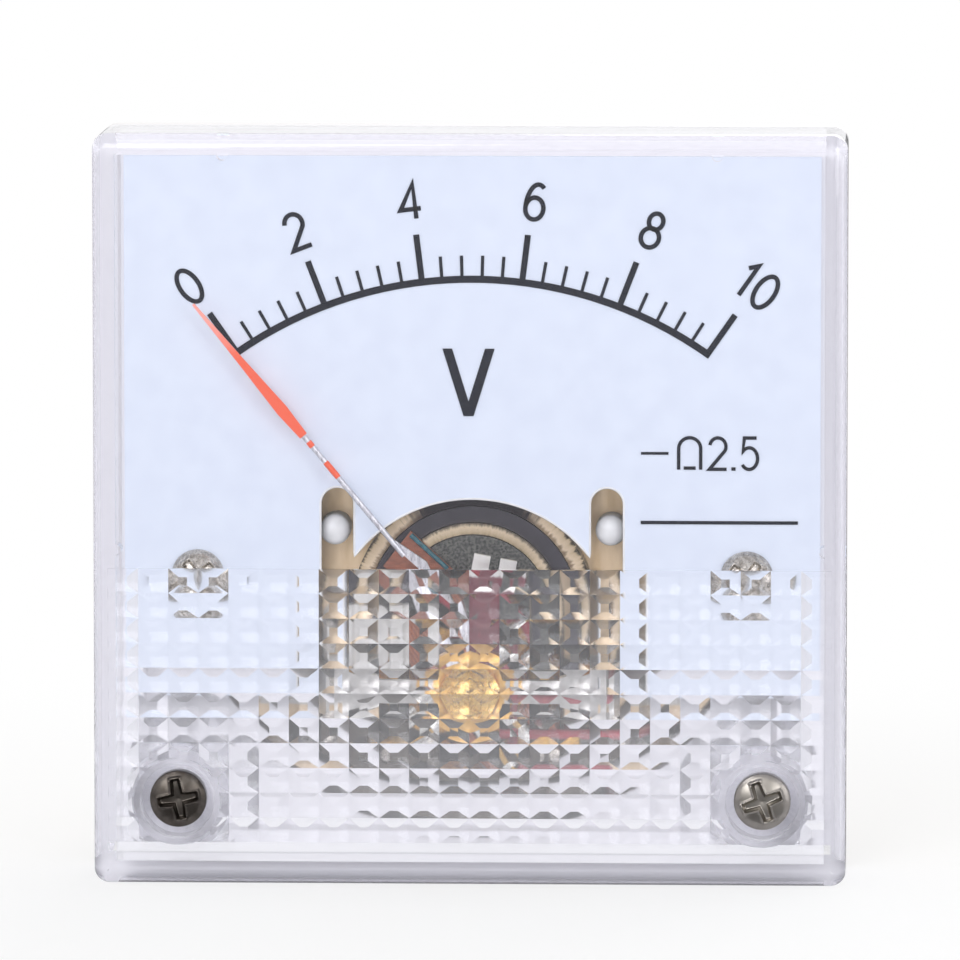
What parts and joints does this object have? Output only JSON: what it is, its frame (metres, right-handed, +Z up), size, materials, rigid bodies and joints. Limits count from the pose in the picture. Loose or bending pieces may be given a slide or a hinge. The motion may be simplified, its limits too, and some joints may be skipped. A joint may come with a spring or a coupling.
{
  "type": "analog panel meter",
  "caption": "Square moving-coil panel meter with a clear cover, a prism band over the movement, an arched scale and a round barrel behind the panel.",
  "frame": {"origin": "on the barrel's axis, at the flange's rear face, where the panel's surface lies", "axes": "+X to the right seen from the front, +Y back through the panel along the barrel, +Z up the dial"},
  "size_m": [0.045, 0.039, 0.045],
  "materials": {
    "base": "semi-matte moulded",
    "front_cover": "clear moulded acrylic, polished",
    "case_screws": "nickel plated",
    "dial_plate": "smooth white enamel",
    "scale_marks": "screen printed ink",
    "dial_screws": "nickel plated",
    "movement_frame": "yellow passivated zinc",
    "yoke": "passivated zinc",
    "arc_magnet": "sintered ferrite",
    "pole_strap": "passivated zinc",
    "pole_block": "sintered",
    "core": "turned",
    "core_bar": "satin",
    "insulator": "phenolic sheet",
    "blue_lead": "enamelled wire",
    "wire_guide": "milky nylon",
    "red_lead": "insulated wire",
    "stop_pins": "nickel plated",
    "front_bridge": "satin",
    "rear_bridge": "satin",
    "bridge_screws": "nickel plated",
    "bridge_nuts": "satin",
    "front_jewel_screw": "turned",
    "rear_jewel_screw": "turned",
    "jewel_nuts": "turned",
    "coil_former": "sheet",
    "coil_winding": "enamelled copper wire",
    "front_staff": "turned",
    "rear_staff": "turned",
    "pointer_arm": "drawn tube",
    "pointer_blade": "red enamel",
    "balance_cross": "wire",
    "balance_weights": "tinned wire coil",
    "zero_lever": "tinned",
    "front_hairspring": "phosphor bronze strip",
    "rear_hairspring": "phosphor bronze strip",
    "rear_spring_tag": "satin",
    "resistor": "lacquered",
    "resistor_leads": "tinned copper",
    "terminal_studs": "turned",
    "terminal_washers": "nickel plated",
    "terminal_nuts": "milled",
    "terminal_lugs": "tinned"
  },
  "bodies": {
    "case": {"base": "base", "front_cover": "front_cover", "case_screws": "case_screws", "dial_plate": "dial_plate", "scale_marks": "scale_marks", "dial_screws": "dial_screws", "movement_frame": "movement_frame", "yoke": "yoke", "arc_magnet": "arc_magnet", "pole_strap": "pole_strap", "pole_block": "pole_block", "core": "core", "core_bar": "core_bar", "insulator": "insulator", "blue_lead": "blue_lead", "wire_guide": "wire_guide", "red_lead": "red_lead", "stop_pins": "stop_pins", "front_bridge": "front_bridge", "rear_bridge": "rear_bridge", "bridge_screws": "bridge_screws", "bridge_nuts": "bridge_nuts", "front_jewel_screw": "front_jewel_screw", "rear_jewel_screw": "rear_jewel_screw", "jewel_nuts": "jewel_nuts", "rear_hairspring": "rear_hairspring", "rear_spring_tag": "rear_spring_tag", "resistor": "resistor", "resistor_leads": "resistor_leads", "terminal_studs": "terminal_studs", "terminal_washers": "terminal_washers", "terminal_nuts": "terminal_nuts", "terminal_lugs": "terminal_lugs"},
    "needle": {"coil_former": "coil_former", "coil_winding": "coil_winding", "front_staff": "front_staff", "rear_staff": "rear_staff", "pointer_arm": "pointer_arm", "pointer_blade": "pointer_blade", "balance_cross": "balance_cross", "balance_weights": "balance_weights"},
    "zero_lever": {"zero_lever": "zero_lever", "front_hairspring": "front_hairspring"}
  },
  "joints": [
    {"name": "needle_turn", "type": "hinge", "parent": "case", "child": "needle", "pos_m": [0, 0, -0.01105], "axis": [0, 1, 0], "range_deg": [-2.25, 73.85], "stiffness_Nm_per_rad": 0.000025},
    {"name": "zero_turn", "type": "hinge", "parent": "case", "child": "zero_lever", "pos_m": [0, 0, -0.01105], "axis": [0, 1, 0], "range_deg": [-8, 8]}
  ]
}
